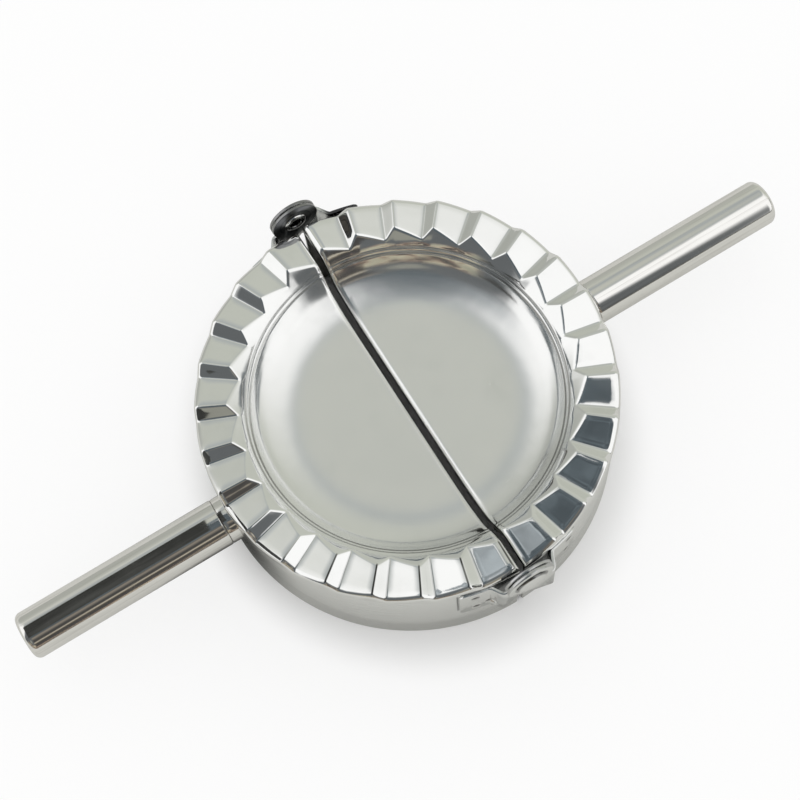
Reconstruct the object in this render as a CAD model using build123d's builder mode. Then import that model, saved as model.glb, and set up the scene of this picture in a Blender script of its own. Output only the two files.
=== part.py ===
"""Folding empanada press: two riveted half dishes with a saw-tooth crimping flange. Sizes in mm.

Frame: +X toward the folding half's handle, +Y toward the rear hinge, +Z up.
The origin is on the table, midway between the two hinges, under the split.
"""
from build123d import *
from math import cos, radians, sin, sqrt
import os

os.makedirs("parts", exist_ok=True)

# ---------------------------------------------------------------- driving sizes
FLANGE_RADIUS = 47.5
FLANGE_HEIGHT = 30.0
TEETH_PER_HALF = 14
TOOTH_RISE = 2.15
STEP_ANGLE = 3.3
SHEET = 0.7
SPLIT_GAP = 1.4

RIM_DROP = 1.9
LIP_DEPTH = 2.2
FLANGE_WIDTH = 7.2
CONE_SPREAD = 2.9
LEDGE_WIDTH = 4.2
CREASE_DEPTH = 6.4
PAN_SHOULDER_WIDTH = 5.2
PAN_SHOULDER_DEPTH = 8.6
PAN_SLOPE_WIDTH = 6.0
PAN_DEPTH = 9.3

RIM_OVERHANG = 0.25
BAND_SHEET = 0.7
BAND_TOP_GAP = 0.05

PIVOT_LIFT = 0.3
EAR_RADIUS = 5.8
EAR_STANDOFF = 2.05
WASHER_THICKNESS = 0.3
END_PLAY = 0.05
LEAF_SHEET = 0.7
LEAF_END_ANGLE = 18.0
LEAF_TOP_GAP = 0.35
LEAF_BOTTOM_DROP = 15.5
LEAF_CORNER = 1.2
JOGGLE_START_ANGLE = 9.5
JOGGLE_FOOT_X = 6.1
JOGGLE_ROUND = 0.8
LEAF_HEEL_X = 7.5
WELD_DIMPLE_RADIUS = 0.75
WELD_DIMPLE_DEPTH = 0.28
LEFT_WELDS = [(13.6, 5.8), (13.4, 13.0), (9.9, 11.5)]
RIGHT_WELDS = [(15.5, 5.6), (14.9, 12.6)]

RIVET_SHANK_RADIUS = 2.1
RIVET_BORE_RADIUS = 1.5
RIVET_HEAD_RADIUS = 3.7
RIVET_HEAD_HEIGHT = 1.1
RIVET_CURL_RADIUS = 2.75
RIVET_CURL_HEIGHT = 0.45
RUNNING_CLEARANCE = 0.05
WASHER_RADIUS = 4.4

HANDLE_RADIUS = 5.4
HANDLE_REACH = 51.95
HANDLE_DROP = 13.0
HANDLE_WALL = 0.8
HANDLE_END_ROUND = 1.6
CAP_COLLAR_LENGTH = 2.2
CAP_END_WALL = 0.7
SCREW_END_GAP = 0.6
SEAM_BEVEL = 0.2
SCREW_RADIUS = 2.0
SCREW_LENGTH = 11.0
SCREW_HEAD_RADIUS = 3.5
SCREW_HEAD_HEIGHT = 2.2
SLOT_WIDTH = 0.9
SADDLE_RADIUS = 4.6
SADDLE_THICKNESS = 0.9

# ---------------------------------------------------------------- sizes that follow
PITCH = 180 / TEETH_PER_HALF
HALF_RISE = TOOTH_RISE / 2
HALF_STEP = STEP_ANGLE / 2
HALF_GAP = SPLIT_GAP / 2
CONE_TOP_RADIUS = FLANGE_RADIUS - FLANGE_WIDTH
CONE_FOOT_RADIUS = CONE_TOP_RADIUS - CONE_SPREAD
CREASE_RADIUS = CONE_FOOT_RADIUS - LEDGE_WIDTH
PAN_SHOULDER_RADIUS = CREASE_RADIUS - PAN_SHOULDER_WIDTH
PAN_FLOOR_RADIUS = PAN_SHOULDER_RADIUS - PAN_SLOPE_WIDTH
CORE_RADIUS = (PAN_SHOULDER_RADIUS + CREASE_RADIUS) / 2
BAND_RADIUS = FLANGE_RADIUS - RIM_OVERHANG
PIVOT_HEIGHT = FLANGE_HEIGHT + PIVOT_LIFT
INNER_EAR_Y = BAND_RADIUS + EAR_STANDOFF
OUTER_EAR_Y = INNER_EAR_Y + LEAF_SHEET + WASHER_THICKNESS + END_PLAY
RIVET_HEAD_Y = OUTER_EAR_Y + LEAF_SHEET + END_PLAY
LEAF_TOP = FLANGE_HEIGHT - RIM_DROP - LEAF_TOP_GAP
LEAF_BOTTOM = FLANGE_HEIGHT - LEAF_BOTTOM_DROP
HANDLE_HEIGHT = FLANGE_HEIGHT - HANDLE_DROP
HANDLE_TIP_X = BAND_RADIUS + HANDLE_REACH
CAP_COLLAR_END = BAND_RADIUS + CAP_COLLAR_LENGTH
BAND_INNER = BAND_RADIUS - BAND_SHEET
SCREW_SEAT_X = BAND_INNER - SADDLE_THICKNESS
SCREW_BORE_END = SCREW_SEAT_X + SCREW_LENGTH + SCREW_END_GAP
TUBE_BORE = HANDLE_RADIUS - HANDLE_WALL
FRONT = 270
REACH = 1.25 * FLANGE_RADIUS
SLAB_FLOOR = FLANGE_HEIGHT - PAN_DEPTH - LIP_DEPTH - SHEET


def radial_plane(angle):
    """Plane through the Z axis: local x runs outward at the angle, local y runs up."""
    out = (cos(radians(angle)), sin(radians(angle)), 0)
    side = (sin(radians(angle)), -cos(radians(angle)), 0)
    return Plane(origin=(0, 0, 0), x_dir=out, z_dir=side)


def tooth_stations():
    """Angles and rim heights of the folding half's creases, from the front hinge to the rear one."""
    stations = [(FRONT, 0)]
    for tooth in range(TEETH_PER_HALF):
        low = FRONT + tooth * PITCH + HALF_STEP
        high = low + PITCH - STEP_ANGLE
        stations.append((low, -HALF_RISE))
        stations.append((high, HALF_RISE))
    stations.append((FRONT + 180, 0))
    return stations


def toothed_ring(drop):
    """A thick ring under the saw-tooth surface lowered by drop, over the folding half.

    Every crease points at the middle of the press, so each tooth face is a true plane and the
    teeth of one half still mesh with the other's when it is turned over.
    """
    inner = CORE_RADIUS - 3 * SHEET
    level = FLANGE_HEIGHT - drop
    with BuildPart() as ring:
        for angle, height in tooth_stations():
            slope = height / FLANGE_RADIUS
            inner_top = (inner, level + slope * inner)
            outer_top = (REACH, level + slope * REACH)
            with BuildSketch(radial_plane(angle)):
                with BuildLine():
                    Polyline((inner, SLAB_FLOOR), (REACH, SLAB_FLOOR), outer_top, inner_top, close=True)
                make_face()
        loft(ruled=True)
    return ring.part


def pan_cavity(outward):
    """The hollow of the whole pan, grown outward by a distance square to its wall."""
    top = FLANGE_HEIGHT + 3 * HALF_RISE
    mouth = 2 * CONE_TOP_RADIUS - CONE_FOOT_RADIUS
    foot = (CONE_FOOT_RADIUS, FLANGE_HEIGHT - HALF_RISE)
    crease = (CREASE_RADIUS, FLANGE_HEIGHT - CREASE_DEPTH)
    shoulder = (PAN_SHOULDER_RADIUS, FLANGE_HEIGHT - PAN_SHOULDER_DEPTH)
    floor_edge = (PAN_FLOOR_RADIUS, FLANGE_HEIGHT - PAN_DEPTH)
    middle = (0, FLANGE_HEIGHT - PAN_DEPTH)
    with BuildPart() as cavity:
        with BuildSketch(Plane.XZ):
            with BuildLine():
                Polyline(middle, (0, top), (mouth, top), foot, crease, shoulder, floor_edge, close=True)
            make_face()
            if outward > 0:
                offset(amount=outward, kind=Kind.INTERSECTION)
                with Locations((-REACH / 2, FLANGE_HEIGHT)):
                    Rectangle(REACH, 2 * REACH, mode=Mode.SUBTRACT)
        revolve(axis=Axis.Z)
    return cavity.part


def half_disc(radius, edge_x, bottom, height):
    """A half disc with its straight side at edge_x, on the folding side."""
    end_y = sqrt(radius**2 - edge_x**2)
    with BuildPart() as disc:
        with BuildSketch(Plane.XY.offset(bottom)):
            with BuildLine():
                Line((edge_x, end_y), (edge_x, -end_y))
                ThreePointArc((edge_x, -end_y), (radius, 0), (edge_x, end_y))
            make_face()
        extrude(amount=height)
    return disc.part


def half_slab(drop, radius, edge_x):
    """The folding half as one thick slab under the teeth, before any hollow is cut."""
    with BuildPart() as slab:
        add(toothed_ring(drop))
        add(half_disc(CORE_RADIUS, 0, SLAB_FLOOR, PAN_DEPTH / 2))
        add(half_disc(radius, edge_x, SLAB_FLOOR, FLANGE_HEIGHT), mode=Mode.INTERSECT)
    return slab.part


# ---------------------------------------------------------------- dishes
# The sheet is what stays of a slab after two hollows are taken from below it: the room inside the
# rolled rim and the split lip, then the room under the lip. The pan itself is cut from above.
with BuildPart() as room_inside_lips:
    add(half_slab(SHEET, FLANGE_RADIUS - SHEET, HALF_GAP + SHEET))
    add(pan_cavity(SHEET), mode=Mode.SUBTRACT)

with BuildPart() as room_under_lips:
    add(half_disc(REACH, 0, 0, FLANGE_HEIGHT - RIM_DROP))
    add(pan_cavity(LIP_DEPTH), mode=Mode.SUBTRACT)

with BuildPart() as right_dish:
    add(half_slab(0, FLANGE_RADIUS, HALF_GAP))
    add(pan_cavity(0), mode=Mode.SUBTRACT)
    add(room_inside_lips.part, mode=Mode.SUBTRACT)
    add(room_under_lips.part, mode=Mode.SUBTRACT)
right_dish.part.label = "right_dish"

with BuildPart() as left_dish:
    add(right_dish.part, rotation=(0, 0, 180))
left_dish.part.label = "left_dish"


# ---------------------------------------------------------------- cutter bands
with BuildPart() as right_cutter_band:
    add(half_disc(BAND_RADIUS, HALF_GAP, 0, FLANGE_HEIGHT - RIM_DROP - BAND_TOP_GAP))
    Cylinder(BAND_INNER, 3 * FLANGE_HEIGHT, mode=Mode.SUBTRACT)
    with Locations(Plane(origin=(BAND_RADIUS, 0, HANDLE_HEIGHT), z_dir=(1, 0, 0))):
        Cylinder(SCREW_RADIUS + RUNNING_CLEARANCE, 4 * BAND_SHEET, mode=Mode.SUBTRACT)
right_cutter_band.part.label = "right_cutter_band"

with BuildPart() as left_cutter_band:
    add(right_cutter_band.part, rotation=(0, 0, 180))
left_cutter_band.part.label = "left_cutter_band"


# ---------------------------------------------------------------- hinge leaves
def front_leaf(ear_y, dimples):
    """The folding half's front leaf: curved foot on the band, joggle outward, flat round ear.

    ear_y is the distance from the middle of the press to the near face of the ear.
    dimples are the spot welds, each given by its angle from the split and its drop.
    """
    middle_radius = BAND_RADIUS + LEAF_SHEET / 2
    ear_middle = -(ear_y + LEAF_SHEET / 2)
    foot_angle = FRONT + JOGGLE_START_ANGLE
    end_x = middle_radius * sin(radians(LEAF_END_ANGLE))
    with BuildPart() as leaf:
        with BuildSketch(Plane.XY.offset(LEAF_BOTTOM)):
            with BuildLine() as run:
                foot = CenterArc((0, 0), middle_radius, foot_angle, LEAF_END_ANGLE)
                Line(foot @ 0, (JOGGLE_FOOT_X, ear_middle))
                Line((JOGGLE_FOOT_X, ear_middle), (-2 * EAR_RADIUS, ear_middle))
                bends = run.vertices().sort_by(Axis.X)[1:3]
                fillet(bends, radius=JOGGLE_ROUND)
                offset(amount=LEAF_SHEET / 2, side=Side.BOTH)
            make_face()
        extrude(amount=2 * FLANGE_HEIGHT)
        with BuildSketch(Plane.XZ) as outline:
            with Locations((0, PIVOT_HEIGHT)):
                Circle(EAR_RADIUS)
            with BuildLine():
                Polyline((LEAF_HEEL_X, LEAF_BOTTOM), (end_x, LEAF_BOTTOM), (end_x, LEAF_TOP))
            make_hull()
            fillet(outline.vertices().group_by(Axis.X)[-1], radius=LEAF_CORNER)
            with Locations((REACH / 2, LEAF_TOP + REACH / 2)):
                Rectangle(REACH, REACH, mode=Mode.SUBTRACT)
            with Locations((0, PIVOT_HEIGHT)):
                Circle(EAR_RADIUS)
        extrude(amount=REACH, mode=Mode.INTERSECT)
        with Locations(Plane(origin=(0, ear_middle, PIVOT_HEIGHT), z_dir=(0, -1, 0))):
            Cylinder(RIVET_SHANK_RADIUS + RUNNING_CLEARANCE, 3 * LEAF_SHEET, mode=Mode.SUBTRACT)
        for angle, drop in dimples:
            weld = Plane.XY.rotated((0, 90, FRONT + angle)).offset(BAND_RADIUS + LEAF_SHEET)
            with Locations(weld.move(Location((0, 0, FLANGE_HEIGHT - drop)))):
                Cylinder(WELD_DIMPLE_RADIUS, 2 * WELD_DIMPLE_DEPTH, mode=Mode.SUBTRACT)
    return leaf.part


with BuildPart() as right_front_leaf:
    add(front_leaf(OUTER_EAR_Y, RIGHT_WELDS))
right_front_leaf.part.label = "right_front_leaf"

with BuildPart() as right_rear_leaf:
    mirror(right_front_leaf.part, about=Plane.XZ)
right_rear_leaf.part.label = "right_rear_leaf"

with BuildPart() as left_rear_leaf:
    add(front_leaf(INNER_EAR_Y, LEFT_WELDS), rotation=(0, 0, 180))
left_rear_leaf.part.label = "left_rear_leaf"

with BuildPart() as left_front_leaf:
    mirror(left_rear_leaf.part, about=Plane.XZ)
left_front_leaf.part.label = "left_front_leaf"

# ---------------------------------------------------------------- rivets and ear washers
PIVOT_PLANE = Plane(origin=(0, 0, PIVOT_HEIGHT), x_dir=(1, 0, 0), z_dir=(0, 0, 1))
PIVOT_AXIS = Axis((0, 0, PIVOT_HEIGHT), (0, 1, 0))

with BuildPart() as rear_rivet:
    with BuildSketch(PIVOT_PLANE):
        with BuildLine():
            crown = (0, RIVET_HEAD_Y + RIVET_HEAD_HEIGHT)
            crown_edge = (RIVET_HEAD_RADIUS / 2, RIVET_HEAD_Y + RIVET_HEAD_HEIGHT)
            edge = (RIVET_HEAD_RADIUS, RIVET_HEAD_Y + RIVET_HEAD_HEIGHT / 3)
            curl_top = (RIVET_CURL_RADIUS, INNER_EAR_Y)
            curl_lip = (RIVET_CURL_RADIUS - RIVET_CURL_HEIGHT, INNER_EAR_Y - RIVET_CURL_HEIGHT)
            curl_foot = (RIVET_BORE_RADIUS, INNER_EAR_Y - RIVET_CURL_HEIGHT)
            bore_end = RIVET_HEAD_Y - RIVET_HEAD_HEIGHT / 2
            Polyline(
                crown,
                crown_edge,
                edge,
                (RIVET_HEAD_RADIUS, RIVET_HEAD_Y),
                (RIVET_SHANK_RADIUS, RIVET_HEAD_Y),
                (RIVET_SHANK_RADIUS, INNER_EAR_Y),
                curl_top,
                curl_lip,
                curl_foot,
                (RIVET_BORE_RADIUS, bore_end),
                (0, bore_end),
                close=True,
            )
        make_face()
    revolve(axis=PIVOT_AXIS)
rear_rivet.part.label = "rear_rivet"

with BuildPart() as front_rivet:
    mirror(rear_rivet.part, about=Plane.XZ)
front_rivet.part.label = "front_rivet"

with BuildPart() as rear_washer:
    with BuildSketch(Plane(origin=(0, INNER_EAR_Y + LEAF_SHEET, PIVOT_HEIGHT), z_dir=(0, 1, 0))):
        Circle(WASHER_RADIUS)
        Circle(RIVET_SHANK_RADIUS + RUNNING_CLEARANCE, mode=Mode.SUBTRACT)
    extrude(amount=WASHER_THICKNESS)
rear_washer.part.label = "rear_washer"

with BuildPart() as front_washer:
    mirror(rear_washer.part, about=Plane.XZ)
front_washer.part.label = "front_washer"

# ---------------------------------------------------------------- handles
HANDLE_AXIS = Axis((0, 0, HANDLE_HEIGHT), (1, 0, 0))
HANDLE_PLANE = Plane(origin=(0, 0, HANDLE_HEIGHT), x_dir=(1, 0, 0), z_dir=(0, -1, 0))

with BuildPart() as right_handle_tube:
    with BuildSketch(HANDLE_PLANE):
        with BuildLine():
            bulge = HANDLE_END_ROUND * (1 - sqrt(0.5))
            Polyline(
                (CAP_COLLAR_END, 0),
                (CAP_COLLAR_END, HANDLE_RADIUS - SEAM_BEVEL),
                (CAP_COLLAR_END + SEAM_BEVEL, HANDLE_RADIUS),
                (HANDLE_TIP_X - HANDLE_END_ROUND, HANDLE_RADIUS),
                (HANDLE_TIP_X - bulge, HANDLE_RADIUS - bulge),
                (HANDLE_TIP_X, HANDLE_RADIUS - HANDLE_END_ROUND),
                (HANDLE_TIP_X, 0),
                close=True,
            )
        make_face()
        with Locations((CAP_COLLAR_END, 0)):
            length = HANDLE_TIP_X - CAP_COLLAR_END - HANDLE_WALL
            Rectangle(length, TUBE_BORE, align=(Align.MIN, Align.MIN), mode=Mode.SUBTRACT)
    revolve(axis=HANDLE_AXIS)
right_handle_tube.part.label = "right_handle_tube"

with BuildPart() as right_handle_cap:
    with BuildSketch(HANDLE_PLANE):
        with Locations((BAND_INNER, 0)):
            Rectangle(CAP_COLLAR_END - BAND_INNER, HANDLE_RADIUS, align=(Align.MIN, Align.MIN))
        with Locations((CAP_COLLAR_END, 0)):
            spigot_length = SCREW_BORE_END + CAP_END_WALL - CAP_COLLAR_END
            Rectangle(spigot_length, TUBE_BORE - RUNNING_CLEARANCE, align=(Align.MIN, Align.MIN))
    revolve(axis=HANDLE_AXIS)
    Cylinder(BAND_RADIUS, 3 * FLANGE_HEIGHT, mode=Mode.SUBTRACT)
    with Locations(Plane(origin=(0, 0, HANDLE_HEIGHT), z_dir=(1, 0, 0))):
        Cylinder(
            SCREW_RADIUS + RUNNING_CLEARANCE,
            SCREW_BORE_END,
            align=(Align.CENTER, Align.CENTER, Align.MIN),
            mode=Mode.SUBTRACT,
        )
right_handle_cap.part.label = "right_handle_cap"

with BuildPart() as right_handle_screw:
    with BuildSketch(HANDLE_PLANE) as half_screw:
        with Locations((SCREW_SEAT_X, 0)):
            Rectangle(SCREW_LENGTH, SCREW_RADIUS, align=(Align.MIN, Align.MIN))
            Rectangle(SCREW_HEAD_HEIGHT, SCREW_HEAD_RADIUS, align=(Align.MAX, Align.MIN))
        chamfer(half_screw.vertices().group_by(Axis.X)[0].sort_by(Axis.Y)[-1], length=SCREW_HEAD_HEIGHT / 2)
    revolve(axis=HANDLE_AXIS)
    with Locations((SCREW_SEAT_X - SCREW_HEAD_HEIGHT, 0, HANDLE_HEIGHT)):
        Box(SCREW_HEAD_HEIGHT, 3 * SCREW_HEAD_RADIUS, SLOT_WIDTH, mode=Mode.SUBTRACT)
right_handle_screw.part.label = "right_handle_screw"

with BuildPart() as right_saddle_washer:
    with BuildSketch(Plane(origin=(SCREW_SEAT_X, 0, HANDLE_HEIGHT), z_dir=(1, 0, 0))):
        Circle(SADDLE_RADIUS)
        Circle(SCREW_RADIUS + RUNNING_CLEARANCE, mode=Mode.SUBTRACT)
    extrude(amount=2 * SADDLE_THICKNESS)
    Cylinder(BAND_INNER, 3 * FLANGE_HEIGHT, mode=Mode.INTERSECT)
right_saddle_washer.part.label = "right_saddle_washer"

with BuildPart() as left_handle_tube:
    add(right_handle_tube.part, rotation=(0, 0, 180))
left_handle_tube.part.label = "left_handle_tube"

with BuildPart() as left_handle_cap:
    add(right_handle_cap.part, rotation=(0, 0, 180))
left_handle_cap.part.label = "left_handle_cap"

with BuildPart() as left_handle_screw:
    add(right_handle_screw.part, rotation=(0, 0, 180))
left_handle_screw.part.label = "left_handle_screw"

with BuildPart() as left_saddle_washer:
    add(right_saddle_washer.part, rotation=(0, 0, 180))
left_saddle_washer.part.label = "left_saddle_washer"

# ---------------------------------------------------------------- export
PIECES = [
    left_dish,
    right_dish,
    left_cutter_band,
    right_cutter_band,
    left_front_leaf,
    left_rear_leaf,
    right_front_leaf,
    right_rear_leaf,
    front_rivet,
    rear_rivet,
    front_washer,
    rear_washer,
    left_handle_tube,
    right_handle_tube,
    left_handle_cap,
    right_handle_cap,
    left_handle_screw,
    right_handle_screw,
    left_saddle_washer,
    right_saddle_washer,
]
for piece in PIECES:
    export_step(piece.part, f"parts/{piece.part.label}.step")
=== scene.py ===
# %% [markdown]
# # A folding empanada press in stainless steel
#
# The press is two half dishes on a pair of riveted hinges. Dough lies over the
# dishes, the right half folds over onto the left one, and the saw-tooth flange
# crimps the edge shut. The bands under the flanges are the round cutters.
#
# Each step below makes one piece or one finish. The solids of the press are
# packed already, and they stand in the scene as a frame: they say where every
# piece is. The new pieces take their places and show the same shapes with the
# rounded bends and thin edges that pressed sheet steel really has.

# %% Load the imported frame
from math import atan2, cos, degrees, hypot, pi, radians, sin, sqrt

import bmesh
import bpy
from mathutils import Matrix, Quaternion, Vector


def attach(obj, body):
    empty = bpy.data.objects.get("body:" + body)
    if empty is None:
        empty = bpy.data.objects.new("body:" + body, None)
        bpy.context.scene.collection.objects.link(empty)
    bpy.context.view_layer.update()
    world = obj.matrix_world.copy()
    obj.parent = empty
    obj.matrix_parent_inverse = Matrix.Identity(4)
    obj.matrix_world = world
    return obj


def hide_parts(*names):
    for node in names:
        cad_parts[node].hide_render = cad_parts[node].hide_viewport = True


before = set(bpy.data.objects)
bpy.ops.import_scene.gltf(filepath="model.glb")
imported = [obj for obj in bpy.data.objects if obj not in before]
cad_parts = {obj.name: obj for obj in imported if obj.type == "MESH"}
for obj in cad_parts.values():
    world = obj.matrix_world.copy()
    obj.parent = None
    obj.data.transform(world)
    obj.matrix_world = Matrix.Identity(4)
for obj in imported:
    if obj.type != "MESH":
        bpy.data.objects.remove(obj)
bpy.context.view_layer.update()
bpy.ops.object.select_all(action="DESELECT")
print("frame nodes:", ", ".join(sorted(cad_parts)))

# %% [markdown]
# Blender works in metres, but a press like this is easier to think about in
# millimetres. So sizes are written in millimetres and turned to metres by one
# factor where they meet the mesh. Angles run counter-clockwise seen from above,
# from the folding half's handle: the rear hinge is at 90 and the front one at 270.

# %% Sizes of the sheet parts
MM = 0.001
SHEET = 0.7
HALF_GAP = 0.7
FLANGE_RADIUS = 47.5
FLANGE_HEIGHT = 30.0
RIM_DROP = 1.9
BEND_RADIUS = 1.25
FRONT = 270.0
TEETH = 14
PITCH = 180 / TEETH
HALF_RISE = 1.075
HALF_STEP = 1.65
print("tooth pitch", round(PITCH, 3), "degrees")

# %% [markdown]
# A few small helpers do what a hand does in edit mode. The first draws a wire: a
# plane is merged to a single vertex, and the vertex is extruded from point to
# point. The second sweeps that wire about an axis, as a lathe or a rolling
# machine would. A helper is worth writing once a move comes back three times.

# %% Draw a wire and sweep it
def draw(name, points, closed=False):
    """Draws a wire through points in millimetres by extruding one vertex, and stays in edit mode."""
    places = [Vector(point) * MM for point in points]
    bpy.ops.mesh.primitive_plane_add(size=MM)
    piece = bpy.context.object
    piece.name = name
    piece.data.name = name
    bpy.ops.object.mode_set(mode="EDIT")
    bpy.ops.mesh.merge(type="CENTER")
    bpy.ops.transform.translate(value=places[0])
    for here, there in zip(places, places[1:]):
        bpy.ops.mesh.extrude_region_move(TRANSFORM_OT_translate={"value": there - here})
    if closed:
        bpy.ops.mesh.select_all(action="SELECT")
        work = bmesh.from_edit_mesh(piece.data)
        work.edges.new([vert for vert in work.verts if len(vert.link_edges) == 1])
        bmesh.update_edit_mesh(piece.data)
    bpy.ops.mesh.select_all(action="SELECT")
    return piece


def spin(steps, angle, centre, axis):
    """Sweeps the selected wire about an axis, counter-clockwise by an angle in degrees."""
    bpy.ops.mesh.spin(steps=steps, angle=-radians(angle), center=Vector(centre) * MM, axis=axis)


# %% Point faces outward, apply modifiers, shade and report
MERGE_REACH = 0.002


def outward():
    """Turns every face of the edited mesh to point out of the solid."""
    bpy.ops.mesh.select_all(action="SELECT")
    bpy.ops.mesh.remove_doubles(threshold=MERGE_REACH * MM)
    bpy.ops.mesh.normals_make_consistent(inside=False)


def apply(piece, kind, **settings):
    """Adds a modifier with these settings and applies it."""
    bpy.context.view_layer.objects.active = piece
    modifier = piece.modifiers.new(kind.title(), kind)
    for key, value in settings.items():
        setattr(modifier, key, value)
    bpy.ops.object.modifier_apply(modifier=modifier.name)


def smooth(piece, angle=32):
    """Shades the piece smooth, with sharp edges only above the angle, and prints its size."""
    bpy.ops.object.select_all(action="DESELECT")
    piece.select_set(True)
    bpy.context.view_layer.objects.active = piece
    bpy.ops.object.shade_smooth_by_angle(angle=radians(angle))
    triangles = sum(len(face.vertices) - 2 for face in piece.data.polygons)
    size = [round(side / MM, 1) for side in piece.dimensions]
    print(piece.name, "is", size, "mm,", triangles, "triangles")
    bpy.ops.object.select_all(action="DESELECT")


# %% Copy a piece to another place
def copied(piece, name, resize=(1, 1, 1), turn=0):
    """Copies a piece with its own mesh, then turns it about the Z axis or mirrors it through the middle."""
    bpy.ops.object.select_all(action="DESELECT")
    piece.select_set(True)
    bpy.context.view_layer.objects.active = piece
    bpy.ops.object.duplicate()
    copy = bpy.context.object
    copy.name = name
    copy.data.name = name
    bpy.ops.object.mode_set(mode="EDIT")
    bpy.ops.mesh.select_all(action="SELECT")
    bpy.ops.transform.rotate(value=radians(turn), orient_axis="Z", center_override=(0, 0, 0))
    bpy.ops.transform.resize(value=resize, center_override=(0, 0, 0))
    if resize[0] * resize[1] * resize[2] < 0:
        bpy.ops.mesh.flip_normals()
    bpy.ops.object.mode_set(mode="OBJECT")
    bpy.ops.object.select_all(action="DESELECT")
    return copy


# %% [markdown]
# ## The dishes
#
# A dish is one sheet of steel pressed between two dies. The press gives it a
# flat-bottomed pan, a sloped wall with a fine crease round it, and a flange of
# 14 saw teeth to the half turn. Its round rim and its straight side are bent
# down into lips. It could be carved from a block, but a sheet is quicker to make
# the way the factory does: cut a flat blank, press it, bend the edges, and give
# it thickness at the very end.
#
# The die comes first. It is a height for each radius and angle, built from
# straight slopes with a rounded bend between each two.

# %% Heights of the saw teeth
STEP_SLOPE = -HALF_RISE / HALF_STEP
FACE_SLOPE = 2 * HALF_RISE / (PITCH - 2 * HALF_STEP)
TOOTH_BEND = 0.54


def ramp(x, half_width):
    """Nothing below zero and x above it, with a parabola for the bend between them."""
    if x <= -half_width:
        return 0.0
    if x >= half_width:
        return x
    return (x + half_width) ** 2 / (4 * half_width)


def tooth_height(angle):
    """Height of the saw teeth at the rim, for an angle in degrees."""
    along = (angle - FRONT) % PITCH
    rise = STEP_SLOPE * along
    rise += (FACE_SLOPE - STEP_SLOPE) * ramp(along - HALF_STEP, TOOTH_BEND)
    rise += (STEP_SLOPE - FACE_SLOPE) * ramp(along - (PITCH - HALF_STEP), TOOTH_BEND)
    return rise


print("teeth rise", round(tooth_height(FRONT - HALF_STEP) - tooth_height(FRONT + HALF_STEP), 2), "mm")

# %% Heights of the pan and its wall
PAN_HEIGHT = -9.33
CONE_FOOT = (37.4, -1.075)
CONE_SLOPE = 4.3 / 5.8
CORNER_BLEND = 0.4
# Each corner of the wall: its radius, the slope inside it, and half the width of its bend.
# The corners from 35.35 to 36.3 are the two fine steps of the crease.
WALL = [(22.0, 0.0, 3.5), (28.0, 0.1167, 3.6), (33.2, 0.4231, 1.3), (35.35, 1.25, 0.08), (35.5, 2.6, 0.08)]
WALL += [(35.75, 0.55, 0.1), (36.15, 1.25, 0.08), (36.3, 2.4, 0.08), (36.5, 0.7, 0.1), (37.4, 1.2679, 0.4)]


def wall_height(radius):
    """Height of the pan and its sloped wall, measured from the flange's middle level."""
    height = PAN_HEIGHT
    slopes = [slope for corner, slope, bend in WALL] + [CONE_SLOPE]
    for index, (corner, slope, bend) in enumerate(WALL):
        height += (slopes[index + 1] - slope) * ramp(radius - corner, bend)
    return height


def edge_radius(angle):
    """Radius at which a tooth meets the sloped wall."""
    reach = CONE_SLOPE * CONE_FOOT[0] - CONE_FOOT[1]
    return reach / (CONE_SLOPE - tooth_height(angle) / FLANGE_RADIUS)


def pressed(radius, angle):
    """Height of the sheet's upper face above the table."""
    tooth = tooth_height(angle) * radius / FLANGE_RADIUS
    wall = wall_height(radius)
    near = max(CORNER_BLEND - abs(tooth - wall), 0.0)
    return FLANGE_HEIGHT + min(tooth, wall) - near * near / (4 * CORNER_BLEND)


ridge_edge, valley_edge = edge_radius(FRONT - HALF_STEP), edge_radius(FRONT + HALF_STEP)
print("teeth meet the wall from", round(valley_edge, 2), "to", round(ridge_edge, 2), "mm")

# %% [markdown]
# The blank is a radial wire that is spun in bites: a few wide ones over each
# tooth's face and several fine ones at each bend, where the shine is. Its points
# stand close together where the wall bends. One ring has to run along the line
# where the teeth meet the wall, or that corner would be a ragged zigzag, so the
# rings near it slide in and out with the teeth.

# %% Rings of the blank, out from the middle
EDGE = edge_radius(FRONT)
EDGE_BAND = 0.6
STILL_RING = 36.75
BLANK_RADIUS = FLANGE_RADIUS - BEND_RADIUS
RINGS = [0.0, 4.0, 8.0, 12.0, 15.0, 17.5, 19.0, 20.5, 22.0, 23.5, 25.0, 26.2, 27.4, 28.6, 29.8, 31.0, 32.0]
RINGS += [32.6, 33.2, 33.8, 34.4, 35.0, 35.27, 35.35, 35.43, 35.5, 35.58, 35.66, 35.76, 35.86, 36.06, 36.15]
RINGS += [36.23, 36.3, 36.38, 36.48, 36.6, STILL_RING, (EDGE + 36.15) / 2]
RINGS += [EDGE + EDGE_BAND * part / 3 for part in range(-3, 4)]
RINGS += [EDGE + EDGE_BAND + (BLANK_RADIUS - EDGE - EDGE_BAND) * part / 6 for part in range(1, 7)]
print(len(RINGS), "rings, the last at", BLANK_RADIUS, "mm")


def slid(radius, angle):
    """Slides a ring in or out so that one ring always runs along the teeth's inner edge."""
    edge = edge_radius(angle)
    inner, outer = EDGE - EDGE_BAND, EDGE + EDGE_BAND
    if radius <= STILL_RING:
        return radius
    if radius < inner:
        share = (radius - STILL_RING) / (inner - STILL_RING)
        return STILL_RING + share * (edge - EDGE_BAND - STILL_RING)
    if radius <= outer:
        return radius + edge - EDGE
    share = (BLANK_RADIUS - radius) / (BLANK_RADIUS - outer)
    return BLANK_RADIUS - share * (BLANK_RADIUS - edge - EDGE_BAND)


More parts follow.
